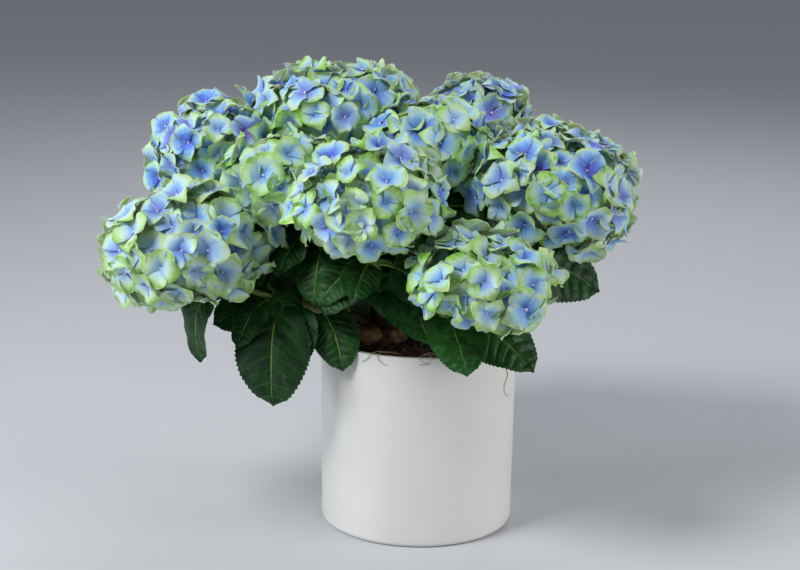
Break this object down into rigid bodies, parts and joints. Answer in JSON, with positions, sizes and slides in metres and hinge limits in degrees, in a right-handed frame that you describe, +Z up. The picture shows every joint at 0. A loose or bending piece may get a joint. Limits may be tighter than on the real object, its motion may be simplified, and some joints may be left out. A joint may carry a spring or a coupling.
{
  "type": "potted mophead hydrangea",
  "caption": "Potted hydrangea shrub with blue and green mophead flower heads on arching canes over broad leaves, in a plain white round pot.",
  "frame": {"origin": "centre of the flat underside of the pot", "axes": "+Z up along the pot's axis, -Y to the side that the plant is mostly seen from, +X to its right"},
  "size_m": [0.49, 0.4502, 0.4261],
  "materials": {
    "pot_glaze": "satin white glaze",
    "peat": "damp, crumbly potting peat",
    "bark": "rough peeling bark",
    "cane": "smooth green cane, red-brown at the foot",
    "leaf": "glossy dark green leaf, quilted between its veins",
    "blossom": "soft petals, blue at the throat and lime green at the edge"
  },
  "bodies": {
    "root": {"pot": "pot_glaze", "soil": "peat", "trunk": "bark", "cane_left_low": "cane", "cane_left_high": "cane", "cane_top": "cane", "cane_centre": "cane", "cane_centre_left": "cane", "cane_mid": "cane", "cane_top_right": "cane", "cane_right": "cane", "cane_right_low": "cane", "cane_back_right": "cane", "cane_back_left": "cane", "cane_back": "cane", "head_left_low": "blossom", "head_left_high": "blossom", "head_top": "blossom", "head_centre": "blossom", "head_centre_left": "blossom", "head_mid": "blossom", "head_top_right": "blossom", "head_right": "blossom", "head_right_low": "blossom", "head_back_right": "blossom", "head_back_left": "blossom", "head_back": "blossom", "leaves_left_low": "leaf", "leaves_left_high": "leaf", "leaves_top": "leaf", "leaves_centre": "leaf", "leaves_centre_left": "leaf", "leaves_mid": "leaf", "leaves_top_right": "leaf", "leaves_right": "leaf", "leaves_right_low": "leaf", "leaves_back_right": "leaf", "leaves_back_left": "leaf", "leaves_back": "leaf"}
  },
  "joints": []
}
